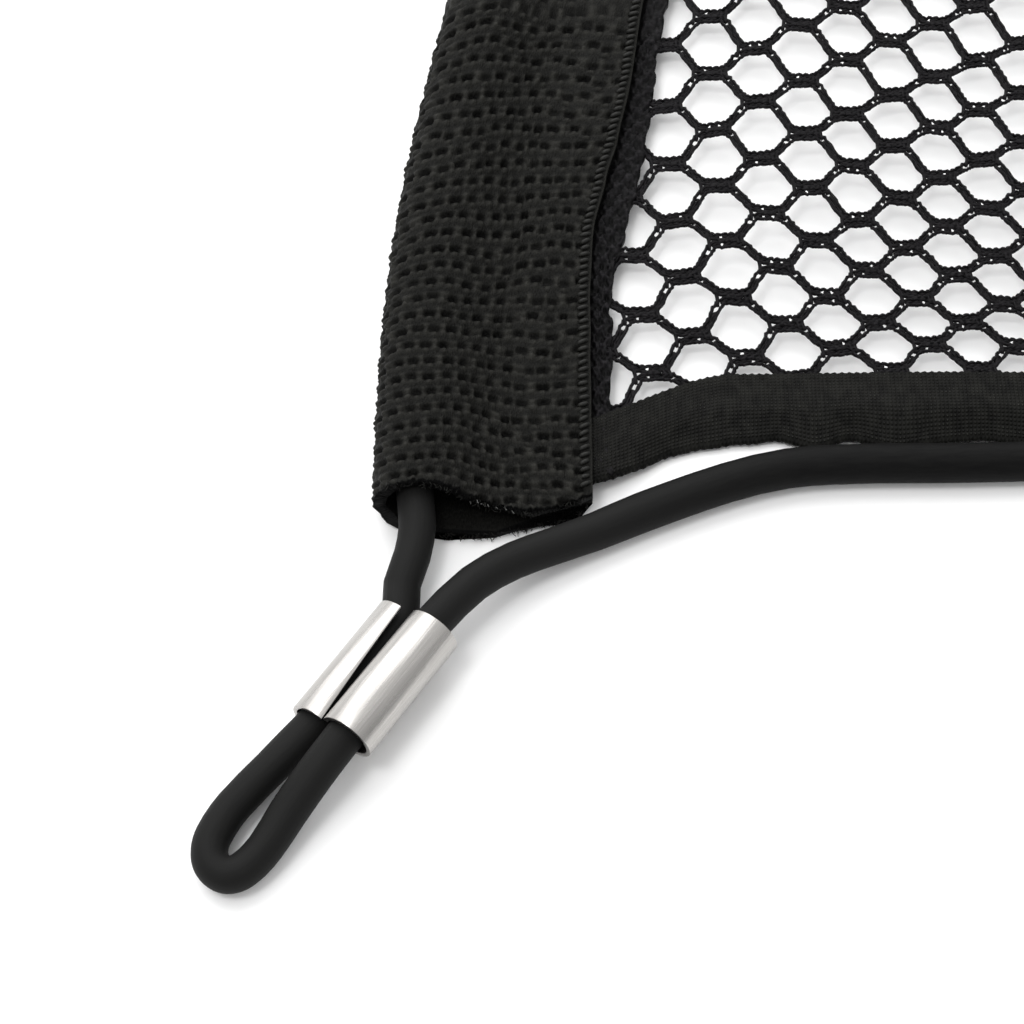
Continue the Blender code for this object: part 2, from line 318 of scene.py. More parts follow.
# The knit's yarns where it is seen close. A wave has a height, how many of it go in a
# loop of the chain, and its lag at the chain's two sides.
FINE_TO = 92.0
FINE_CHAINS = int(2 * KNIT_LIMITS[1]) + 5
CHAIN_HALF = 0.39
YARN = 0.26
YARN_SIDES = 5
YARN_OPENS = 0.1
YARN_RIPPLE = ((0.04, 1.0, 1.0), (0.04, 0.37, 2.0), (0.024, 1.7, 0.0))
YARN_RISE = ((0.1, 1.0, 1.6),)
YARN_UNEVEN = ((0.06, 1.0, 2.0), (0.1, 0.43, 5.0))
RIBBON = (0.28, 0.2)
RIBBON_UNEVEN = 0.22
RIBBON_SWAY = 0.08
RIBBON_RISE = (-0.05, 0.1)
LOOP_LENGTH = 0.9
BRIDGE = 0.27
BRIDGES = (
    # from the bar's middle, bulge, size
    (-2.3, 0.16, 1.0),
    (1.6, -0.05, 1.2),
    (2.24, -0.14, 1.1),
)
BRIDGED = (-4, 12)
BAR_ENDS = (-1.15, 1.25)
BAR_FILLING = 0.42
BAR_WIDEST = 3.5
OPENINGS_UP = ((0.56, 0.024, 0), (0.645, 0.02, 1), (0.1, 0.014, 2), (0.9, 0.012, 3))
OPENINGS_DOWN = ((0.355, 0.03, 0), (0.45, 0.014, 1), (0.1, 0.012, 2), (0.9, 0.014, 3))
OPENING_ODDS = (1.0, 0.75, 0.25, 0.35)
OPENING = 1.15
RIBBON_ENDS = 0.55

# The knit's plain chains, and what its three pieces are cut from
COARSE_EVERY = 4
COARSE_CHAIN = (0.58, 0.38)
COARSE_WAVE = (1.1, 0.92)
NET_CUTS = {
    # width and length of the cut, and the area of its yarns, in metres
    "net_corner": (0.06, 0.07, 0.0041),
    "net_left": (0.235, 0.345, 0.025),
    "net_right": (0.235, 0.345, 0.027),
}

# The band of knitting left beside each sleeve
BAND_REACH = np.array((
    # place along the sleeve, how far the band shows
    (0.0, 2.3), (24.8, 2.3), (31.1, 2.2), (33.0, 1.8), (39.4, 2.2), (46.2, 3.2), (54.4, 4.0),
    (62.3, 4.0), (76.8, 3.4), (125.0, 3.1),
))
BAND_START = TAPE_START + 2.0
BAND_COLUMNS = 29
BAND_TUCK = 3.0
BAND_THICK = 0.9
BAND_LUMP = 2.7
BAND_RAGGED = 0.16
BAND_RELIEF = (0.3, 0.2, 0.1)
BAND_EMERGES = 0.5
BAND_SUNK = 0.3

# The tape's layers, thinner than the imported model's
TAPE_LAYER = 0.55
TAPE_DROP = 0.3
TAPE_LOOP = 0.78
TAPE_FOLD = (0.38, 0.72)
TAPE_FOLD_REACH = 4.5
TAPE_LOOP_TUCKED = 0.5
TAPE_TUCK = 8.0
TAPE_CLOSE = 66.0
TAPE_STEPS = (0.3, 1.2, 2.0)
TAPE_STEP_ACROSS = 0.5
TAPE_INNER_EVERY = 3
TAPE_SCALLOP = 0.95
TAPE_SCALLOP_DEEP = 0.12
TAPE_RELIEF = 0.035
TAPE_WEAVE = (0.5, 0.46)
TAPE_HANG_REACH = 5.0
TAPE_HANGS = (
    # distance along the net, half length, how far the edge hangs out
    (2.5, 3.0, 0.35), (9.0, 3.2, -0.3), (15.5, 3.0, 0.3), (23.6, 2.4, -0.45), (27.9, 2.6, 0.95),
    (32.7, 2.2, -0.5), (38.6, 3.4, 0.95), (49.0, 3.6, -0.45), (57.0, 4.0, 0.4),
)

LAYER_LOW = WEBBING / 2
MESH_IN_WEBBING = WEBBING + GAP + MESH / 2
LAYER_HIGH = 2 * MESH_IN_WEBBING - LAYER_LOW
CORD_IN_SLEEVE = WEBBING + GAP + CORD / 2
FOLD_RADIUS = CORD_IN_SLEEVE - LAYER_LOW
SLEEVE_EDGE = SLEEVE_WIDTH - EDGE_DRAWN_IN
MESH_IN_TAPE = TAPE + GAP + MESH / 2

# Names, and whether each is mirrored
SIDES = (("left", False), ("right", True))
EDGES = (("front", False), ("back", True))


def ease(x, start=0.0, end=1.0):
    """A smooth step from 0 at the start to 1 at the end."""
    t = np.clip((x - start) / (end - start), 0.0, 1.0)
    return t * t * (3 - 2 * t)


def mix(a, b, share):
    return a + (b - a) * share


def hump(x, half, power=2):
    """1 at the middle, and falling smoothly to either side."""
    return np.exp(-((x / half) ** power))


def waves(table, x, y):
    """A sum of waves: each row is a height, and what the angle gains by x and by y."""
    return sum(height * np.sin(x * by_x + y * by_y) for height, by_x, by_y in table)


def from_end(x, length):
    """How far a place is from the nearer end of a length."""
    return np.minimum(x, length - x)


def from_table(rows, x, column):
    """A column of a table whose first column rises, read at x."""
    return np.interp(x, rows[:, 0], rows[:, column])


def luck_at(field, *places):
    """Seeded numbers at whole places, which wrap round the field's sides."""
    return field[tuple(np.asarray(at).astype(int) % size for at, size in zip(places, field.shape))]


def thinned(first, last, every):
    """Every few of the numbers from first to before last, and the last of them."""
    return np.unique(np.append(np.arange(first, last, every), last - 1))


def place(places, right=False, back=False):
    """Places at the front left corner, or at the one that mirrors it, in the frame."""
    out = np.array(places, float)
    out[..., 0] = (out[..., 0] - NET_LENGTH / 2) * (-1 if right else 1)
    out[..., 1] = (out[..., 1] - NET_WIDTH / 2) * (-1 if back else 1)
    return out * METRES


# Shader nodes


def feed(tree, socket, source):
    """Give an input a plain value, or the output that feeds it."""
    if isinstance(source, bpy.types.NodeSocket):
        tree.links.new(source, socket)
    else:
        socket.default_value = source


def add_node(tree, kind, output, feeds=(), **settings):
    """An output of a new node, with its settings and what feeds its inputs."""
    node = tree.nodes.new("ShaderNode" + kind)
    for name, value in settings.items():
        setattr(node, name, value)
    for socket, source in dict(feeds).items():
        feed(tree, node.inputs[socket], source)
    return node.outputs[output]


def product(tree, a, b):
    return add_node(tree, "Math", "Value", {0: a, 1: b}, operation="MULTIPLY")


def add_noise(tree, coordinate, stretch, scale, detail=3.0):
    """A noise texture over stretched coordinates."""
    where = add_node(tree, "TexCoord", coordinate)
    mapped = add_node(tree, "Mapping", "Vector", {"Vector": where, "Scale": stretch})
    return add_node(tree, "TexNoise", "Fac", {"Vector": mapped, "Scale": scale, "Detail": detail})


def add_ramp(tree, source, *stops):
    """Two colours, each at its position along a source's values."""
    ramp = add_node(tree, "ValToRGB", "Color", {"Fac": source})
    for element, (position, colour) in zip(ramp.node.color_ramp.elements, stops):
        element.position = position
        element.color = (*colour, 1.0)
    return ramp


# Camera, light and floor


def aim(thing, direction, distance):
    """Place a camera or a lamp so that it looks at the photographed corner."""
    away = Vector(direction).normalized()
    thing.location = CAMERA_AIM + away * distance
    thing.rotation_mode = "QUATERNION"
    thing.rotation_quaternion = (-away).to_track_quat("-Z", "Y")


def make_view():
    bpy.ops.object.camera_add()
    camera = bpy.context.object
    aim(camera, (0, -math.cos(CAMERA_ELEVATION), math.sin(CAMERA_ELEVATION)), CAMERA_DISTANCE)
    camera.data.angle = CAMERA_FOV
    camera.data.clip_start = 0.01
    bpy.context.scene.camera = camera
    bpy.context.scene.view_settings.view_transform = "Standard"


def make_light(name, direction, distance, size, power):
    """A square lamp in a direction from the photographed corner."""
    bpy.ops.object.light_add(type="AREA")
    lamp = bpy.context.object
    lamp.name = name
    aim(lamp, direction, distance)
    lamp.data.size = size
    lamp.data.energy = power


def make_sky():
    """A white room, brighter behind the net and to its left."""
    world = bpy.data.worlds.new("Studio")
    world.use_nodes = True
    tree = world.node_tree
    where = add_node(tree, "TexCoord", "Generated")
    bright = Vector(SKY_BRIGHT).normalized()
    toward = add_node(tree, "VectorMath", "Value", {0: where, 1: bright}, operation="DOT_PRODUCT")
    feeds = {"Value": toward, **SKY_LIGHT}
    strength = add_node(tree, "MapRange", "Result", feeds, interpolation_type="SMOOTHSTEP")
    background = tree.nodes["Background"]
    feed(tree, background.inputs["Strength"], strength)
    feed(tree, background.inputs["Color"], (1.0, 1.0, 1.0, 1.0))
    bpy.context.scene.world = world


def make_studio():
    make_sky()
    for lamp in LAMPS:
        make_light(*lamp)
    bpy.ops.object.select_all(action="DESELECT")
    bpy.ops.mesh.primitive_plane_add(size=FLOOR_SIZE, location=(0.0, 0.0, FLOOR_HEIGHT))
    floor = bpy.context.object
    floor.name = "floor"
    floor.data.materials.append(paper_material())
    floor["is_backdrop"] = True


# Materials


def shader_input(made, name):
    return made.node_tree.nodes["Principled BSDF"].inputs[name]


def new_material(name, colour, **plain):
    """A material with a colour and plain values on its shader's sockets."""
    made = bpy.data.materials.new(name)
    made.use_nodes = True
    shader_input(made, "Base Color").default_value = (*colour, 1.0)
    for socket, value in plain.items():
        shader_input(made, socket.replace("_", " ")).default_value = value
    return made


def add_bump(made, source, distance, strength=1.0):
    """Relief from a source's values, over a bump that is there already."""
    normal = shader_input(made, "Normal")
    feeds = {"Strength": strength, "Distance": distance, "Height": source}
    if normal.is_linked:
        feeds["Normal"] = normal.links[0].from_socket
    feed(made.node_tree, normal, add_node(made.node_tree, "Bump", "Normal", feeds))


def tint(made, amount, colour):
    """Mix the colour towards another by an amount."""
    base = shader_input(made, "Base Color")
    feeds = {"Factor": amount, "A": base.links[0].from_socket, "B": (*colour, 1.0)}
    mixed = add_node(made.node_tree, "Mix", "Result", feeds, data_type="RGBA", clamp_factor=True)
    feed(made.node_tree, base, mixed)


def tint_by(made, attribute, colour, share):
    """Mix the colour towards another where a mesh's own attribute is high."""
    amount = add_node(made.node_tree, "Attribute", "Fac", attribute_name=attribute)
    tint(made, product(made.node_tree, amount, share), colour)


def fabric_material(name):
    """Yarn or weave: colour and fine relief follow a noise stretched along its threads."""
    dark, light, stretch, scale, relief, roughness, shine = FABRICS[name]
    made = new_material(name, light, Roughness=roughness, Specular_IOR_Level=shine)
    noise = add_noise(made.node_tree, "UV", stretch, scale)
    ramp = add_ramp(made.node_tree, noise, (0.36, dark), (0.66, light))
    feed(made.node_tree, shader_input(made, "Base Color"), ramp)
    add_bump(made, noise, relief)
    return made


def webbing_material():
    """Coarse yarn, painted lighter on its raised bars as highlight and dark in its pits as shade."""
    made = fabric_material("Webbing")
    # Painted highlight on the bars, the blocks and the stitched edge
    tint_by(made, "bar_and_painted_highlight", (0.0245, 0.024, 0.0212), 0.9)
    # Painted shade in the pits and grooves, at the cut ends and over the lining's edge
    tint_by(made, "pit_and_painted_shade", (0.0004, 0.0004, 0.0004), 1.0)
    return made


def elastic_material():
    """Matt black rubber, painted greyer at the corner loops and darker along the run: painted light
    and shade.
    """
    made = fabric_material("Elastic")
    # Painted light at the loops; the run keeps the darker colour of its shade
    tint_by(made, "painted_loop_light", (0.0092, 0.0092, 0.009), 0.9)
    return made


def yarn_material():
    """The knit's yarn, with painted shade between the lumps of the bands."""
    made = fabric_material("Yarn")
    # Painted shade in the bands' gaps, under the webbing's edge and on their undersides
    tint_by(made, "pit_and_painted_shade", (0.0006, 0.0006, 0.0006), 0.9)
    return made


def add_threads(tree, period_along, period_across):
    """Where threads cross: high at each crossing of two sets of waves over UV."""
    where = add_node(tree, "TexCoord", "UV")
    sets = []
    for direction, period in (("X", period_along), ("Y", period_across)):
        feeds = {"Vector": where, "Scale": TURN / (20 * period), "Distortion": 0.9, "Detail": 1.0}
        sets.append(add_node(tree, "TexWave", "Fac", feeds, bands_direction=direction))
    return product(tree, *sets)


def tape_material():
    """A fine weave, lighter where some of its threads cross: painted glints."""
    made = fabric_material("Tape")
    tree = made.node_tree
    crossing = add_threads(tree, *TAPE_WEAVE)
    some = product(tree, crossing, add_noise(tree, "UV", (1.0, 1.6, 1.0), 0.55))
    # Painted glints on the tops of some thread crossings
    painted_glints = add_ramp(tree, some, (0.38, (0.0,) * 3), (0.66, (1.0,) * 3))
    tint(made, painted_glints, (0.03, 0.03, 0.026))
    add_bump(made, crossing, 0.0002, 0.7)
    return made


def metal_material():
    """Bright strip, brushed along its length."""
    made = new_material("Metal", (0.74, 0.72, 0.7), Metallic=1.0)
    tree = made.node_tree
    noise = add_noise(tree, "UV", (0.12, 7.0, 1.0), 1.0, 4.0)
    colour = add_ramp(tree, noise, (0.3, (0.36, 0.347, 0.333)), (0.7, (0.475, 0.462, 0.445)))
    rough = add_ramp(tree, noise, (0.3, (0.34,) * 3), (0.7, (0.25,) * 3))
    feed(tree, shader_input(made, "Base Color"), colour)
    feed(tree, shader_input(made, "Roughness"), rough)
    add_bump(made, noise, 0.00002)
    return made


def paper_material():
    made = new_material("Paper", (0.92, 0.92, 0.92), Roughness=0.8)
    noise = add_noise(made.node_tree, "Object", (1.0, 1.0, 1.0), 40.0)
    ramp = add_ramp(made.node_tree, noise, (0.3, (0.915,) * 3), (0.7, (0.925,) * 3))
    feed(made.node_tree, shader_input(made, "Base Color"), ramp)
    return made


# Mesh making


def link_piece(name, mesh):
    made = bpy.data.objects.new(name, mesh)
    bpy.context.scene.collection.objects.link(made)
    return made


def new_piece(name, points, faces, finish, uvs, right=False, back=False):
    """An object from places and faces at one corner, with a UV for each of its points."""
    if right != back:
        faces = [face[::-1] for face in faces]
    mesh = bpy.data.meshes.new(name)
    mesh.from_pydata(place(points, right, back).tolist(), [], faces)
    mesh.materials.append(finish)
    mesh.shade_smooth()
    corners = np.zeros(len(mesh.loops), np.int32)
    mesh.loops.foreach_get("vertex_index", corners)
    layer = mesh.uv_layers.new(name="UVMap")
    layer.data.foreach_set("uv", uvs[corners].astype(np.float32).ravel())
    return link_piece(name, mesh)


def add_shade(piece, name, *values):
    """An attribute for the finish to read, in the order of the piece's points."""
    layer = piece.data.attributes.new(name, "FLOAT", "POINT")
    values = np.concatenate([part.ravel() for part in values])
    layer.data.foreach_set("value", values.astype(np.float32))


def walk(path):
    """A path's directions, level vectors beside them, and the distance to each point."""
    along = np.gradient(path, axis=0)
    along /= np.linalg.norm(along, axis=1, keepdims=True)
    beside = np.stack([-along[:, 1], along[:, 0], np.zeros(len(path))], axis=1)
    steps = np.linalg.norm(np.diff(path, axis=0), axis=1)
    return along, beside, np.append(0.0, np.cumsum(steps))


def tube_rings(path, side_radius, rise_radius, sides):
    """Rings of points round a path that keeps near level, and how far along each is."""
    along, beside, distance = walk(path)
    beside /= np.linalg.norm(beside, axis=1, keepdims=True)
    above = np.cross(along, beside)
    turn = (np.arange(sides) * TURN / sides)[:, None]
    radii = (side_radius, rise_radius)
    side, rise = (np.broadcast_to(radius, len(path))[:, None, None] for radius in radii)
    level = path[:, None] + beside[:, None] * np.cos(turn) * side
    return level + above[:, None] * np.sin(turn) * rise, distance


def tube_faces(count, sides, first):
    """The faces of a capped tube of rings, its points numbered from the first."""
    ring = np.arange(count - 1)[:, None] * sides + first
    k = np.arange(sides)
    after = (k + 1) % sides
    quads = np.stack([ring + k, ring + after, ring + after + sides, ring + k + sides], axis=-1)
    last = first + (count - 1) * sides
    caps = [list(range(first, first + sides))[::-1], list(range(last, last + sides))]
    return quads.reshape(-1, 4).tolist() + caps


def make_tubes(name, strands, finish, right=False, back=False):
    """One piece from many strands: each a path, its side and rise radius and its sides."""
    points, faces, uvs, first = [], [], [], 0
    for path, side_radius, rise_radius, sides in strands:
        rings, distance = tube_rings(path, side_radius, rise_radius, sides)
        points.append(rings.reshape(-1, 3))
        faces += tube_faces(len(rings), sides, first)
        uv = np.broadcast_arrays(distance[:, None], np.arange(sides) / sides)
        uvs.append(np.stack(uv, axis=-1).reshape(-1, 2))
        first += len(rings) * sides
    return new_piece(name, np.concatenate(points), faces, finish, np.concatenate(uvs), right, back)


def shell_faces(rows, columns, picks):
    """Faces of a closed sheet: a fine outer face, a lining at some columns, and the rim."""
    skin = np.arange(rows * columns).reshape(rows, columns)
    under = skin.size + np.arange(rows * len(picks)).reshape(rows, len(picks))
    sheets = (
        (skin[:-1, :-1], skin[1:, :-1], skin[1:, 1:], skin[:-1, 1:]),
        (under[:-1, :-1], under[:-1, 1:], under[1:, 1:], under[1:, :-1]),
        (skin[:-1, 0], under[:-1, 0], under[1:, 0], skin[1:, 0]),
        (skin[1:, -1], under[1:, -1], under[:-1, -1], skin[:-1, -1]),
    )
    faces = [face for sheet in sheets for face in np.stack(sheet, axis=-1).reshape(-1, 4).tolist()]
    for row, turn in ((0, 1), (rows - 1, -1)):
        outer, inner = skin[row].tolist(), under[row].tolist()
        for k, (low, high) in enumerate(zip(picks, picks[1:])):
            faces.append([*outer[low:high + 1], inner[k + 1], inner[k]][::turn])
    return faces


def new_shell(name, skin, lining, picks, uvs, finish, rows_along_y, right=False, back=False):
    """A closed sheet from its outer face's places and, at the picked columns, its lining's."""
    faces = shell_faces(*skin.shape[:2], picks)
    if rows_along_y:
        faces = [face[::-1] for face in faces]
    points = np.concatenate([skin.reshape(-1, 3), lining[:, picks].reshape(-1, 3)])
    uvs = np.concatenate([uvs.reshape(-1, 2), uvs[:, picks].reshape(-1, 2)])
    return new_piece(name, points, faces, finish, uvs, right, back)


# Cord


def curve_through(points):
    """Points on a smooth curve through the route's points, closer where it turns."""
    ends = [2 * points[0] - points[1], *points, 2 * points[-1] - points[-2]]
    smooth = []
    for before, start, end, after in zip(ends, ends[1:], ends[2:], ends[3:]):
        length = (end - start).length
        leave = (end - before) * (length / (length + (start - before).length))
        reach = (after - start) * (length / (length + (after - end).length))
        turns = leave.angle(reach) / MOST_TURN
        steps = math.ceil(max(turns, length / MOST_STEP))
        for step in range(steps):
            t = step / steps
            smooth.append(
                start * (2 * t**3 - 3 * t**2 + 1)
                + end * (3 * t**2 - 2 * t**3)
                + leave * (t**3 - 2 * t**2 + t)
                + reach * (t**3 - t**2)
            )
    return [*smooth, points[-1]]


def ferrule_axes():
    """Unit vectors: along the ferrule to the loop, across its barrels and off its back."""
    along = Vector((math.cos(FERRULE_HEADING), math.sin(FERRULE_HEADING), 0.0))
    across = UP.cross(along) * math.cos(FERRULE_ROLL) + UP * math.sin(FERRULE_ROLL)
    return along, across, along.cross(across)


def barrel_point(side, distance):
    """Where the cord is in a barrel: side -1 is the low one, distance from the middle."""
    along, across, _ = ferrule_axes()
    lean = CORD_LEAN_OUT if distance < -FERRULE_LENGTH / 2 else CORD_LEAN
    return FERRULE_MIDDLE + across * (side * BARREL_OFF - lean) + along * distance


def corner_route():
    """The cord's way from inside the sleeve round the loop to the run along the tape."""
    outside = FERRULE_LENGTH / 2 + BARREL_LEAD
    inside = FERRULE_LENGTH / 2 - BARREL_INSIDE
    stops = (-outside, -inside, inside, outside)
    down = [barrel_point(-1, stop) for stop in stops]
    up = [barrel_point(1, -stop) for stop in stops]
    start = Vector((CORD_X, CORD_END, CORD_IN_SLEEVE))
    mouth, loop, run = ([Vector(p) for p in r] for r in (MOUTH_ROUTE, LOOP_ROUTE, RUN_ROUTE))
    return [start, *mouth, *down, *loop, *up, *run]


def side_route():
    """A long side's cord, from inside one sleeve to inside the other."""
    corner = corner_route()
    run = []
    for step in range(1, RUN_STEPS):
        share = step / RUN_STEPS
        x = mix(RUN_FROM, NET_LENGTH - RUN_FROM, share)
        sway = CORD_SWAY * math.sin(TURN * CORD_WAVES * share)
        run.append(Vector((x, float(tape_edge(x)) - CORD_OFF_TAPE + sway, CORD / 2)))
    return corner + run + [Vector((NET_LENGTH - p.x, p.y, p.z)) for p in reversed(corner)]


def make_cord(name, back, finish):
    """The elastic along one long side, with both of its corner loops."""
    path = np.array([tuple(p) for p in curve_through(side_route())])
    inside = from_end(path[:, 0], NET_LENGTH)
    radius = CORD / 2 * mix(CORD_DRAWN, 1.0, ease(inside, *CORD_EASES))
    side = radius * mix(1.0, LOOP_SQUEEZE, ease(-inside, *LOOP_EASES))
    cord = make_tubes("elastic_" + name, [(path, side, radius, CORD_SIDES)], finish, back=back)
    # Painted light, full at the corner loops and fading along the run
    add_shade(cord, "painted_loop_light", np.repeat(1 - ease(inside, *PAINTED_LOOP_LIGHT_FADE), CORD_SIDES))
    line = place(path, back=back)
    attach(cord, "root")
    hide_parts("cord_" + name)


# The lie of the sleeves, the tape and the mesh


def sleeve_bow(y):
    """How far the slack net draws the sleeve inwards at y."""
    return SLEEVE_BOW * np.sin(math.pi * np.clip(y, 0, NET_WIDTH) / NET_WIDTH) ** 3


def tape_edge(x):
    """The front tape's outer edge at x, drawn in past the corner and at the middle."""
    turn = TAPE_INSET * ease(from_end(x, NET_LENGTH), *TAPE_BEND)
    return TAPE_START + turn + TAPE_BOW * np.sin(math.pi * x / NET_LENGTH) ** 4


def seam_sway(y):
    """How far the stitched edge lies out of its line at y."""
    y = from_end(y, NET_WIDTH)
    total = SEAM_SWAY[0, 1]
    for (start, before), (end, after) in zip(SEAM_SWAY, SEAM_SWAY[1:]):
        total = total + ease(y, start, end) * (after - before)
    return total


def along_net(x, y):
    """How far a place is from the left sleeve, as if the sleeves were straight."""
    first = SLEEVE_WIDTH + sleeve_bow(y)
    return (x - first) / (NET_LENGTH - 2 * first) * MESH_LENGTH


def edge_height(x):
    """The mesh's height inside the tape, at a distance along the net."""
    x = np.clip(from_end(x, MESH_LENGTH), 0.0, None)
    rise = (MESH_IN_WEBBING - MESH_IN_TAPE) * (1 - ease(x / TAPE_SETTLE))
    ripple = TAPE_LIFT * np.sin(math.pi * x / TAPE_LIFT_LENGTH) ** 2
    return MESH_IN_TAPE + rise + ripple * ease(x / TAPE_LIFT_LENGTH)


def fold_height(x, y):
    """How high the slack mesh stands off the surface."""
    total = 0.0
    for height, length, along, across, phase in MESH_FOLDS:
        turn = TURN * (along * x + across * y) / length + phase
        total = total + height * (1 + np.sin(turn)) / 2
    return total


def mesh_height(x, y):
    """The mesh's height: held at its edges, and settling in folds between them."""
    edge = tape_edge(SLEEVE_WIDTH + along_net(x, y))
    from_sleeve = from_end(x, NET_LENGTH) - SLEEVE_WIDTH - sleeve_bow(y)
    from_tape = from_end(y, NET_WIDTH) - edge - TAPE_WIDTH
    settled = ease(from_sleeve / SETTLE_FROM_SLEEVE) * ease(from_tape / SETTLE_FROM_TAPE)
    return mix(edge_height(along_net(x, y)), MESH / 2 + fold_height(x, y), settled)


def on_mesh(x, y):
    """Places on the mesh."""
    return np.stack([x, y, mesh_height(x, y)], axis=1)


# Sleeves


def upper_height(x, crease):
    """The upper layer's height, falling from over the cord to the stitched edge."""
    fall = ease(x, CORD_IN_SLEEVE + BULGE_FLAT, crease)
    return mix(CORD_IN_SLEEVE + FOLD_RADIUS, LAYER_HIGH, fall)


def weave(u, v, wild):
    """The webbing's relief at u across and v along it, and its pits' and bars' shares, for painted
    shade and highlight.
    """
    v = np.log(1 + ROW_SPREAD * np.maximum(v, 0)) / ROW_SPREAD + np.minimum(v, 0)
    row = np.round(v / PIT_ROW)
    row_shift, widening, rise, deepening = PIT_UNEVEN
    shift = PIT_OFFSET * (row % 2) + row_shift * luck_at(ROW_SHIFTS, row)
    column = np.round(u / PIT_PITCH - shift)
    luck = [luck_at(field, row, column) for field in PIT_SHIFTS]
    beside = u - (column + shift) * PIT_PITCH - PIT_JITTER * luck[0] * (1 + wild)
    part = beside / (PIT_HALF * (1 + widening * luck[1] * (1 + wild)))
    across = hump(part, 1, 4)
    up = v / PIT_ROW - row
    up_pit = up + rise * luck[2] * (1 + 1.6 * wild)
    reach = mix(*PIT_REACH, np.clip(part**2, 0, 1))
    down = np.clip((up_pit + reach) / (reach + PIT_TOP[0]), 0, 1) * (1 - ease(up_pit, *PIT_TOP))
    # The pit's share deepens the relief and also paints shade in it
    pit_and_painted_shade = across * down * (0.85 + deepening * luck[3]) * (1 - 0.35 * wild * (luck[2] > 0.3))
    pit_and_painted_shade = np.maximum(pit_and_painted_shade, GROOVE * hump(up_pit - GROOVE_AT, GROOVE_HALF))
    half, block_at, block_deep = BLOCK
    block = hump(beside, half) * hump(up_pit - block_at, block_deep)
    least, more = BAR_UNEVEN
    # The bar's share raises the relief and also paints a highlight on it, with the blocks beside the
    # pits
    bar_and_painted_highlight = (1 - across) * hump(up, BAR_REACH, 4) * (least + more * luck[1])
    bar_and_painted_highlight = bar_and_painted_highlight + BLOCK_SHARE * block * (1 - pit_and_painted_shade)
    lumps = np.sin(1.9 * u + 1.3 * np.sin(0.8 * v)) * np.sin(1.7 * v + 0.9 * np.sin(1.1 * u))
    plane = ROW_RISE * (1 + np.cos(TURN * (up - ROW_TOP))) / 2 - WEAVE_SUNK
    return plane + BAR_RISE * bar_and_painted_highlight - PIT_DEPTH * pit_and_painted_shade + LUMP_RISE * wild * lumps, pit_and_painted_shade, bar_and_painted_highlight


def sleeve_columns(step):
    """Across the webbing: the lower layer's x, the turn round the fold, the upper's x."""
    lower = np.arange(SLEEVE_WIDTH, CORD_IN_SLEEVE, -LOWER_STEP)
    under = np.arange(0.0, FOLD_UNDER, PLAIN_STEP / FOLD_RADIUS)
    shown = np.arange(FOLD_UNDER, math.pi, step / FOLD_RADIUS)
    turn = 1.5 * math.pi - np.concatenate([under, shown])
    upper = np.append(np.arange(CORD_IN_SLEEVE, SLEEVE_EDGE - step / 2, step), SLEEVE_EDGE)
    return lower, turn, upper


def folded(columns, crease):
    """A folded webbing's middle: x, z, the normal's x and z, and how far over the fold."""
    lower, turn, upper = columns
    flat = np.zeros(len(lower))
    low = np.stack([lower, flat + LAYER_LOW, flat, flat - 1, flat])
    out = np.stack([np.cos(turn), np.sin(turn)])
    round_it = np.clip(1.5 - turn / math.pi, 0, 1)
    fold = np.concatenate([CORD_IN_SLEEVE + FOLD_RADIUS * out, out, [round_it]])
    under = np.concatenate([low, fold], axis=1)[:, None]
    under = np.broadcast_to(under, (5, len(crease), under.shape[2]))
    over_x = np.broadcast_to(upper, (len(crease), len(upper)))
    over_z = upper_height(over_x, crease)
    slope = np.gradient(over_z, upper, axis=1)
    size = np.sqrt(1 + slope**2)
    over = np.stack([over_x, over_z, -slope / size, 1 / size, np.ones(slope.shape)])
    return np.concatenate([under, over], axis=2)


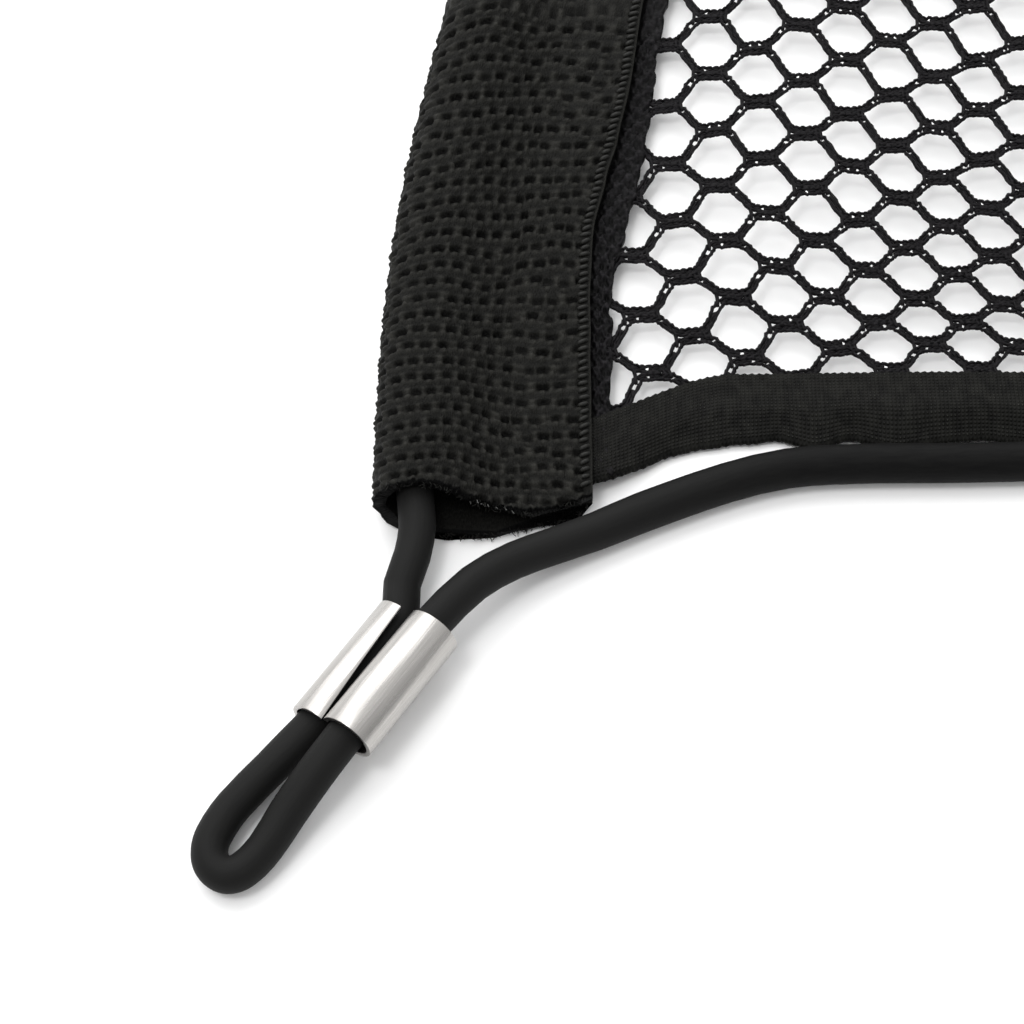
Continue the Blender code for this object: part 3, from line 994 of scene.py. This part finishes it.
def make_sleeve(name, node, right, rows, step, finish):
    """The folded webbing, woven on its outer face: rows are its places along Y."""
    share = (rows / NET_WIDTH)[:, None]
    crease = CREASE + CREASE_SWAY * np.sin(TURN * CREASE_WAVES * share)
    x, z, normal_x, normal_z, on_top = folded(sleeve_columns(step), crease)
    cut = mix(from_table(MOUTH_CUT, x, 1), from_table(MOUTH_CUT, x, 2), on_top)
    y = mix(cut, NET_WIDTH - cut, share)
    steps = np.hypot(np.diff(x, axis=1), np.diff(z, axis=1))
    across = np.pad(np.cumsum(steps, axis=1), ((0, 0), (1, 0)))
    along = y + ROW_SWEEP * ease(y / ROW_SWEEP_TO) * np.clip(crease - x, 0, None)
    wild = np.maximum(ease(across, *WILD_ACROSS), WILD_FAR * ease(y, *WILD_ALONG))
    wild = wild * (0.75 + waves(WILD_WAVES, x, y))
    u = across + waves(DRIFT, across, y)
    relief, pit_and_painted_shade, bar_and_painted_highlight = weave(u, along + waves(WARP, across, y), wild)
    shown = np.clip(on_top * 3, 0, 1) * (1 - on_top * (1 - ease(SLEEVE_EDGE - x, *EDGE_PLAIN)))
    outer = WEBBING / 2 + relief * shown
    bow = sleeve_bow(y) + seam_sway(y) * on_top * ease(x, crease, SLEEVE_EDGE)
    near_cut = 1 - ease(from_end(rows, NET_WIDTH) / MOUTH_RAGGED_TO)
    torn = MOUTH_RAGGED * RANDOM.uniform(-1, 1, x.shape[1]) * near_cut[:, None]
    skin, lining = (
        np.stack([x + normal_x * off + bow, y + torn, z + normal_z * off], axis=-1)
        for off in (outer, -WEBBING / 2)
    )
    picks = thinned(0, x.shape[1], INNER_EVERY)
    uvs = np.stack([across, along], axis=-1)
    piece = new_shell(name, skin, lining, picks, uvs, finish, True, right)
    # Painted highlight on the bars and along the stitched edge; painted shade in the pits, along both
    # cut ends, and on the lining's edge column and ends
    pit_and_painted_shade, bar_and_painted_highlight = pit_and_painted_shade * shown, bar_and_painted_highlight * shown
    # The stitched edge's painted highlight
    bar_and_painted_highlight[:, -1] = EDGE_PAINTED_HIGHLIGHT
    pit_and_painted_shade[[0, -1]] = 1.0
    under = np.zeros((len(rows), len(picks)))
    add_shade(piece, "bar_and_painted_highlight", bar_and_painted_highlight, under)
    under[:, -1] = 1.0
    under[[0, -1]] = 1.0
    add_shade(piece, "pit_and_painted_shade", pit_and_painted_shade, under)
    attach(piece, "root")
    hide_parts(node)


def sleeve_rows(fine):
    """Places along a sleeve, close together where the photographed corner is."""
    if not fine:
        return np.linspace(0.0, NET_WIDTH, round(NET_WIDTH / PLAIN_STEP))
    near = np.arange(0.0, SHOWN_ACROSS, FINE_STEP)
    far = np.linspace(SHOWN_ACROSS, NET_WIDTH, round((NET_WIDTH - SHOWN_ACROSS) / PLAIN_STEP))
    return np.concatenate([near, far])


# Stitches


def make_stitches(name, right, finish):
    """The slanted threads that close a sleeve, each a short arch over the webbing."""
    t = np.linspace(-1.0, 1.0, 7)
    thick = THREAD * (1 - STITCH_TAPER * t**4)
    rise = LAYER_HIGH + WEBBING / 2 - STITCH_SUNK + STITCH_ARCH * (1 - t**4)
    strands = []
    for y in np.arange(STITCH_START, NET_WIDTH - STITCH_START, STITCH_PITCH):
        shift, slant, size = (RANDOM.uniform(*limits) for limits in STITCH_LUCK)
        middle = SLEEVE_WIDTH - STITCH_INSET + sleeve_bow(y) + seam_sway(y) + shift
        x = middle + STITCH_HALF * size * t
        path = np.stack([x, y + STITCH_SLANT * slant * t, rise], axis=1)
        strands.append((path, thick, thick, 6))
    piece = make_tubes(name, strands, finish, right)
    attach(piece, "root")


def make_ends(name, finish, count, over, span, shortest, longest, thick):
    """Short ends of thread that stick out of the webbing's cut edge."""
    x = RANDOM.uniform(*span, count)
    height = upper_height(x, CREASE) if over else np.full(count, LAYER_LOW)
    roots = np.stack([x, from_table(MOUTH_CUT, x, 2 if over else 1), height], axis=1)
    roots += RANDOM.uniform(-1, 1, (count, 3)) * END_ROOTS
    headings = RANDOM.uniform(*END_HEADINGS, count)
    lengths = RANDOM.uniform(shortest, longest, count)
    bends = RANDOM.uniform(-END_BEND, END_BEND, count)
    t = np.linspace(0.0, 1.0, 4)
    radius = thick * (1 - 0.5 * t)
    strands = []
    for root, heading, length, bend in zip(roots, headings, lengths, bends):
        away = heading + bend * t
        way = np.stack([np.cos(away), np.sin(away), END_RISE * t], axis=1)
        strands.append((root + (t * length)[:, None] * way, radius, radius, 4))
    piece = make_tubes(name, strands, finish)
    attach(piece, "root")


# The knitted mesh


def knit_place(column, row):
    """Where a column and a row of the knit cross: holes and bars take turns there."""
    column_in = from_end(column, COLUMNS)
    row_in = from_end(row, 2 * MIDDLE_ROW)
    x = COLUMN_START + COLUMN_PITCH * column
    start = TAPE_BEND[1]
    edge = tape_edge(np.clip(x, start, NET_LENGTH - start)) + TAPE_WIDTH
    t = (row_in - FIRST_ROW) / (MIDDLE_ROW - FIRST_ROW)
    y = edge + (NET_WIDTH / 2 - edge) * (t - ROW_CROWDING * t * (1 - t))
    last_column, last_row = KNIT_LIMITS
    u = np.clip(column_in / last_column, KNIT_BEYOND, 1)
    v = np.clip(row_in / last_row, KNIT_BEYOND, 1)
    fade = 1 - ease((column_in - last_column) / KNIT_FADE)
    fade = fade * (1 - ease(row_in, last_row, MIDDLE_ROW))
    along, across = (polyval2d(u, v, shifts) * fade for shifts in (KNIT_ALONG, KNIT_ACROSS))
    x = x + np.where(column > COLUMNS / 2, -along, along)
    y = y + across + SELVEDGE_SINK * np.minimum(u, 0)
    return x, np.where(row > MIDDLE_ROW, NET_WIDTH - y, y)


def bar_place(column, row):
    """The middle and the tilt of the bar at a column and a row."""
    x, y = knit_place(column, row)
    shifts = [luck_at(field, column, np.round(2 * row)) for field in KNIT_SHIFTS]
    return x + BAR_JITTER * shifts[0], y + BAR_JITTER * shifts[1], BAR_TILT * shifts[2]


def chain_index(column, away=0.0):
    """The number of a chain's point at a distance from the middle of a column."""
    return round((column + away / COLUMN_PITCH + SPARE_COLUMNS) * PER_COLUMN)


def chain_path(chain):
    """A chain's middle line, from one end of the net to the other, and its columns."""
    phase = np.arange(chain_index(COLUMNS + SPARE_COLUMNS) + 1) / PER_COLUMN - SPARE_COLUMNS
    near = np.floor(phase)
    part = phase - near
    mean = chain / 2 + 0.25
    ends = []
    for column in (near, near + 1):
        side = np.where((column + chain) % 2 == 0, 1.0, -1.0)
        ends.append((*bar_place(column, mean + 0.25 * side), -side * CHAIN_APART))
    x = mix(ends[0][0], ends[1][0], part)
    flat = BAR_HALF / COLUMN_PITCH
    t = np.clip((part - flat) / (1 - 2 * flat), 0, 1)
    lines = [y + shift + tilt * (x - at) for at, y, tilt, shift in ends]
    y = mix(*lines, mix(t, ease(t), 0.5))
    rounding = np.hanning(ROUNDING + 2)[1:-1]
    kept = ROUNDING // 2
    rounded = np.convolve(y, rounding / rounding.sum(), "valid")
    y = np.concatenate([y[:kept], rounded, y[-kept:]])
    return np.stack([x, y], axis=1), phase


def inside_net(x, y):
    """Which places lie between the sleeves and the tapes, or a little under the tapes."""
    first = SLEEVE_WIDTH + sleeve_bow(y) + SELVEDGE
    edge = tape_edge(x) + TAPE_WIDTH - KNIT_TUCK
    return (x > first) & (x < NET_LENGTH - first) & (y > edge) & (y < NET_WIDTH - edge)


def runs(keep):
    """Pairs of first and last index of each unbroken run of more than three kept places."""
    marks = np.diff(np.concatenate([[0], keep.astype(int), [0]]))
    return [(a, b) for a, b in zip(np.where(marks == 1)[0], np.where(marks == -1)[0]) if b - a > 3]


def opening(column, part, chain):
    """How far the chain's loops stand open at a part of a column: some spots stay closed."""
    total = np.zeros(len(part))
    rising = (column + chain) % 2 == 1
    for spots, shown in ((OPENINGS_UP, rising), (OPENINGS_DOWN, ~rising)):
        for middle, half, kind in spots:
            lucky = luck_at(OPENING_LUCK[kind], column, chain) < OPENING_ODDS[kind]
            total += OPENING * (lucky & shown) * hump(part - middle, half)
    return total


def fine_strands(line, phase, chain):
    """The yarns of a chain seen close: two outer ones and the ribbon between."""
    centre = on_mesh(*line.T)
    _, beside, distance = walk(centre)
    loop = TURN * distance / LOOP_LENGTH + chain
    column = np.floor(phase)
    gap = opening(column, phase - column, chain)
    strands = []
    for side in (-1, 1):
        out = CHAIN_HALF + waves(YARN_RIPPLE, loop, side) + YARN_OPENS * gap
        path = centre + beside * (side * out)[:, None]
        path[:, 2] += waves(YARN_RISE, loop, side)
        thick = YARN * (1 + waves(YARN_UNEVEN, loop, side))
        strands.append((path, thick, YARN, YARN_SIDES))
    path = centre + beside * (RIBBON_SWAY * np.sin(loop / 2))[:, None]
    path[:, 2] += RIBBON_RISE[0] + RIBBON_RISE[1] * np.cos(loop)
    wide = RIBBON[0] * (1 + RIBBON_UNEVEN * np.cos(loop))
    for a, b in runs(gap < RIBBON_ENDS):
        strands.append((path[a:b], wide[a:b], RIBBON[1], 4))
    return strands


def bridges(low, high, chain):
    """What ties a chain to the one above it, at their bars' ends and along their middles."""
    t = np.linspace(0.0, 1.0, 7)[:, None]
    strands = []
    for column in range(BRIDGED[0] + chain % 2, BRIDGED[1], 2):
        ties = []
        for away, bulge, size in BRIDGES:
            index = chain_index(column, away)
            path = mix(low[index], high[index], t) + (bulge, 0.0) * (1 - (2 * t - 1) ** 2)
            ties.append((path, BRIDGE * size, BRIDGE))
        a, b = (chain_index(column, end) for end in BAR_ENDS)
        ties.append(((low[a:b] + high[a:b]) / 2, BAR_FILLING, YARN))
        close = high[b, 1] - low[b, 1] <= BAR_WIDEST
        for path, side, rise in ties:
            if close and path[3, 0] <= FINE_TO and inside_net(*path.T).all():
                strands.append((on_mesh(*path.T), side, rise, YARN_SIDES))
    return strands


def coarse_strand(line):
    """One plain strand for a chain that is seen from further off."""
    path = on_mesh(*line.T)
    wave = np.where(np.arange(len(path)) % 2 == 0, *COARSE_WAVE)
    return path, COARSE_CHAIN[0] * wave, COARSE_CHAIN[1], 4


def knit(finish):
    """The knitted mesh: the photographed corner in its yarns, the rest as chains."""
    pieces = {name: [] for name in NET_CUTS}
    chains = {chain: chain_path(chain) for chain in range(-4, int(4 * MIDDLE_ROW) + 4)}
    for chain, (line, phase) in chains.items():
        keep = inside_net(*line.T)
        fine = keep & (line[:, 0] < FINE_TO) & (chain < FINE_CHAINS)
        for a, b in runs(fine):
            pieces["net_corner"] += fine_strands(line[a:b], phase[a:b], chain)
        if chain < FINE_CHAINS - 1:
            pieces["net_corner"] += bridges(line, chains[chain + 1][0], chain)
        left = line[:, 0] < NET_LENGTH / 2
        for name, half in (("net_left", left), ("net_right", ~left)):
            for a, b in runs(keep & ~fine & half):
                pieces[name].append(coarse_strand(line[thinned(a, b, COARSE_EVERY)]))
    for name, strands in pieces.items():
        piece = make_tubes(name, strands, finish)
        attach(piece, "root")
        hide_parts("net")


def band_lumps(u, v):
    """The waves of a band's knitting at u across and v along it: blocks, ribs and beads."""
    blocks = np.sin(TURN * v / BAND_LUMP + 1.3 * np.sin(v / 5.0)) * np.sin(2.2 * u + v / 3.0)
    ribs = np.sin(TURN * u / 0.8 + 1.5 * np.sin(v / 1.7)) * np.sin(TURN * v / 1.9 + u)
    beads = np.sin(TURN * u / 0.75 + np.sin(v)) * np.sin(TURN * v / 0.9 + u)
    return blocks, ribs, beads


def make_band(name, right, rows, finish):
    """The close knitting beside a sleeve: a lumpy strip, part of it under the webbing."""
    y = rows[(rows > BAND_START) & (rows < NET_WIDTH - BAND_START)][:, None]
    reach = from_table(BAND_REACH, from_end(y, NET_WIDTH), 1)
    share = np.linspace(-1.0, 1.0, BAND_COLUMNS)
    across = np.where(share < 0, BAND_TUCK, reach) * share
    sway = np.sin(y / 1.1 + 1.2 * np.sin(y / 4.7)) + 0.7 * np.sin(y / 0.53 + np.sin(y / 2.3))
    y = np.broadcast_to(y, across.shape)
    x = SLEEVE_WIDTH + sleeve_bow(y) + across + BAND_RAGGED * sway * ease(share)
    lumps = band_lumps(across, y)
    out = ease((across + EDGE_DRAWN_IN - seam_sway(y)) / BAND_EMERGES)
    relief = sum(rise * lump for rise, lump in zip(BAND_RELIEF, lumps))
    relief = relief * out - BAND_SUNK * (1 - out)
    # Painted shade between the lumps, and all over where the band goes under the webbing
    dark = np.clip(0.5 - 0.9 * lumps[0] - 0.6 * lumps[1], 0, 1) * out + (1 - out)
    level = mesh_height(x, y)
    top = np.stack([x, y, level + BAND_THICK / 2 + relief], axis=-1)
    low = np.stack([x, y, level - BAND_THICK / 2], axis=-1)
    uvs = top[..., :2] * (1.0, 0.5)
    piece = new_shell(name, top, low, np.arange(BAND_COLUMNS), uvs, finish, True, right)
    # The band's underside is painted fully in shade
    add_shade(piece, "pit_and_painted_shade", dark, np.ones(dark.shape))
    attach(piece, "root")


# Binding tape


def tape_columns():
    """Across the folded tape: distance from the fold, height, and the normal's y and z."""
    flat = np.arange(TAPE_WIDTH, TAPE_LOOP, -TAPE_STEP_ACROSS)
    level, ones = np.zeros(len(flat)), np.ones(len(flat))
    turn = np.linspace(1.5 * math.pi, 0.5 * math.pi, 8)[1:-1]
    down = np.stack([flat, -ones, level, -ones])
    bend = np.stack([np.full(len(turn), np.nan), np.sin(turn), np.cos(turn), np.sin(turn)])
    up = np.stack([flat[::-1], ones, level, ones])
    return np.concatenate([down, bend, up], axis=1)


def tape_stations(close):
    """Distances along the tape, with what is tucked under both sleeves."""
    near_step, plain_step, far_step = TAPE_STEPS
    near = np.arange(-TAPE_TUCK, TAPE_CLOSE, near_step if close else plain_step)
    last = MESH_LENGTH + TAPE_TUCK
    return np.concatenate([near, np.arange(TAPE_CLOSE, last, far_step), [last]])


def make_tape(name, node, back, close, finish):
    """The tape folded over a long edge of the net."""
    inner, rise, out_y, out_z = tape_columns()
    stations = tape_stations(close)[:, None]
    free = ease(from_end(stations, MESH_LENGTH) / TAPE_SETTLE)
    loop = mix(TAPE_LOOP_TUCKED, TAPE_LOOP, free)
    distance = np.where(np.isnan(inner), loop * (1 + out_y), inner)
    hang = sum(size * hump(stations - at, half) for at, half, size in TAPE_HANGS)
    hang = hang * np.clip(1 - distance / TAPE_HANG_REACH, 0, 1) * free
    weft = np.sin(TURN * stations / TAPE_SCALLOP)
    scallop = TAPE_SCALLOP_DEEP * weft
    fringe = 0.6 * scallop + 0.1 * np.sin(stations * 3.1) * np.sin(stations * 1.7)
    frill = scallop * np.clip((distance - 7.0) / 2.0, 0, 1) + fringe * np.clip(1 - distance, 0, 1)
    y = tape_edge(SLEEVE_WIDTH + np.clip(stations, 0, MESH_LENGTH)) + distance - hang + frill
    flat_share = np.clip(distance / TAPE_FOLD_REACH, 0, 1)
    loop = mix(np.minimum(TAPE_FOLD[0], loop), loop, ease(flat_share))
    middle = edge_height(stations) - TAPE_DROP * free
    middle = mix(mix(middle, TAPE_FOLD[1], free), middle, ease(flat_share))
    bow = SLEEVE_WIDTH + sleeve_bow(y)
    x = mix(bow, NET_LENGTH - bow, stations / MESH_LENGTH)
    z = middle + loop * rise
    around = np.cumsum(np.abs(np.diff(distance[:1], prepend=distance[:1, :1])), axis=1)
    crossed = np.sin(TURN * around + math.pi * np.round(stations / TAPE_SCALLOP))
    relief = TAPE_RELIEF * weft * crossed * (0.4 + 0.6 * flat_share)
    skin, lining = (
        np.stack([x, y + out_y * off, z + out_z * off], axis=-1)
        for off in (TAPE_LAYER / 2 + relief, -TAPE_LAYER / 2)
    )
    picks = thinned(0, x.shape[1], TAPE_INNER_EVERY)
    uvs = np.stack([x, np.broadcast_to(around, x.shape)], axis=-1)
    piece = new_shell(name, skin, lining, picks, uvs, finish, False, back=back)
    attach(piece, "root")
    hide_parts(node)


# Ferrules


def edit_selection(piece, kind, chosen):
    """Enter edit mode with the edges or polygons of these numbers selected."""
    bpy.ops.object.mode_set(mode="EDIT")
    bpy.ops.mesh.select_mode(type="EDGE" if kind == "edges" else "FACE")
    bpy.ops.mesh.select_all(action="DESELECT")
    bpy.ops.object.mode_set(mode="OBJECT")
    items = getattr(piece.data, kind)
    for number in chosen:
        items[number].select = True
    bpy.ops.object.mode_set(mode="EDIT")


def curl_edge(piece, side):
    """Bend a long edge of the strip up and over, and trim it to a slant."""
    mesh = piece.data
    at = [v.index for v in mesh.vertices if v.co.y * side > BARREL_OFF - 0.01 and v.co.z < 0]
    edges = [e.index for e in mesh.edges if e.vertices[0] in at and e.vertices[1] in at]
    edit_selection(piece, "edges", edges)
    bpy.ops.mesh.spin(
        steps=BARREL_STEPS,
        angle=-(CURL_TIGHT + math.pi / 2) * side,
        center=(0.0, side * BARREL_OFF, 0.0),
        axis=(1.0, 0.0, 0.0),
    )
    bpy.ops.object.mode_set(mode="OBJECT")
    over = [f.index for f in mesh.polygons if 0 < f.center.y * side < BARREL_OFF and f.center.z > 1]
    wide, tight = (BARREL_OFF + BARREL * math.cos(curl) for curl in (CURL_WIDE, CURL_TIGHT))
    edit_selection(piece, "polygons", over)
    slant = Vector((wide - tight, FERRULE_LENGTH, 0.0)).normalized()
    bpy.ops.mesh.bisect(
        plane_co=(-FERRULE_LENGTH / 2, wide * side, 0.0),
        plane_no=(slant.x, slant.y * side, 0.0),
        clear_inner=True,
    )
    bpy.ops.object.mode_set(mode="OBJECT")


def make_strip(finish):
    """The bent strip in its own axes: X along it, Y across its barrels, Z off its back."""
    bpy.ops.object.select_all(action="DESELECT")
    bpy.ops.mesh.primitive_plane_add(size=1.0)
    strip = bpy.context.object
    strip.scale = (FERRULE_LENGTH, 2 * BARREL_OFF, 1.0)
    strip.location = (0.0, 0.0, -BARREL)
    bpy.ops.object.transform_apply(location=True, scale=True)
    for side in (-1, 1):
        curl_edge(strip, side)
    layer = strip.data.uv_layers.active
    for loop in strip.data.loops:
        at = strip.data.vertices[loop.vertex_index].co
        round_it = BARREL * math.atan2(at.z, abs(at.y) - BARREL_OFF)
        layer.data[loop.index].uv = (at.x, round_it + UV_APART * (at.y > 0))
    strip.data.materials.append(finish)
    thick = strip.modifiers.new("thick", "SOLIDIFY")
    thick.thickness = STRIP
    thick.offset = 0.0
    soften = strip.modifiers.new("soften", "BEVEL")
    soften.width = FERRULE_BEVEL
    soften.segments = 2
    bpy.ops.object.modifier_apply(modifier="thick")
    bpy.ops.object.modifier_apply(modifier="soften")
    bpy.ops.object.shade_smooth_by_angle(angle=math.radians(35))
    return strip


def place_ferrule(strip, corner, right, back):
    """A copy of the strip at one corner."""
    turn = Matrix(ferrule_axes()).transposed().to_4x4()
    size = Matrix.Diagonal((-METRES if right else METRES, -METRES if back else METRES, METRES, 1.0))
    shift = Matrix.Translation(Vector((-NET_LENGTH / 2, -NET_WIDTH / 2, 0.0)))
    mesh = strip.data.copy()
    mesh.transform(size @ shift @ Matrix.Translation(FERRULE_MIDDLE) @ turn)
    if right != back:
        mesh.flip_normals()
    piece = link_piece("crimp_" + corner, mesh)
    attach(piece, "root")
    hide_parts("ferrule_" + corner)


def make_ferrules(finish):
    strip = make_strip(finish)
    for edge, back in EDGES:
        for side, right in SIDES:
            place_ferrule(strip, f"{edge}_{side}", right, back)
    bpy.data.objects.remove(strip)


def main():
    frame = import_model()
    cad_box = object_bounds()
    make_view()
    make_studio()
    elastic = elastic_material()
    webbing = webbing_material()
    yarn = yarn_material()
    tape = tape_material()
    threads = {name: fabric_material(name) for name in ("Thread", "Clear thread")}
    make_ferrules(metal_material())
    for name, back in EDGES:
        make_cord(name, back, elastic)
        make_tape("tape_" + name, "binding_" + name, back, not back, tape)
    for name, right in SIDES:
        make_band("band_" + name, right, sleeve_rows(not right), yarn)
    for name, right in SIDES:
        step = 2 * FINE_STEP if right else FINE_STEP
        rows = sleeve_rows(not right)
        make_sleeve("webbing_" + name, "sleeve_" + name, right, rows, step, webbing)
    for name, right in SIDES:
        make_stitches("stitches_" + name, right, threads["Thread"])
    for name, finish, *ends in LOOSE_ENDS:
        make_ends(name, threads[finish], *ends)
    knit(yarn)
    for name in ("cord_left", "cord_right"):
        frame["nodes"][name].data.materials[0] = elastic
    sizes = {"cad": cad_box, "visual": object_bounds()}
    rows = {key: [list(corner) for corner in box] for key, box in sizes.items()}


main()
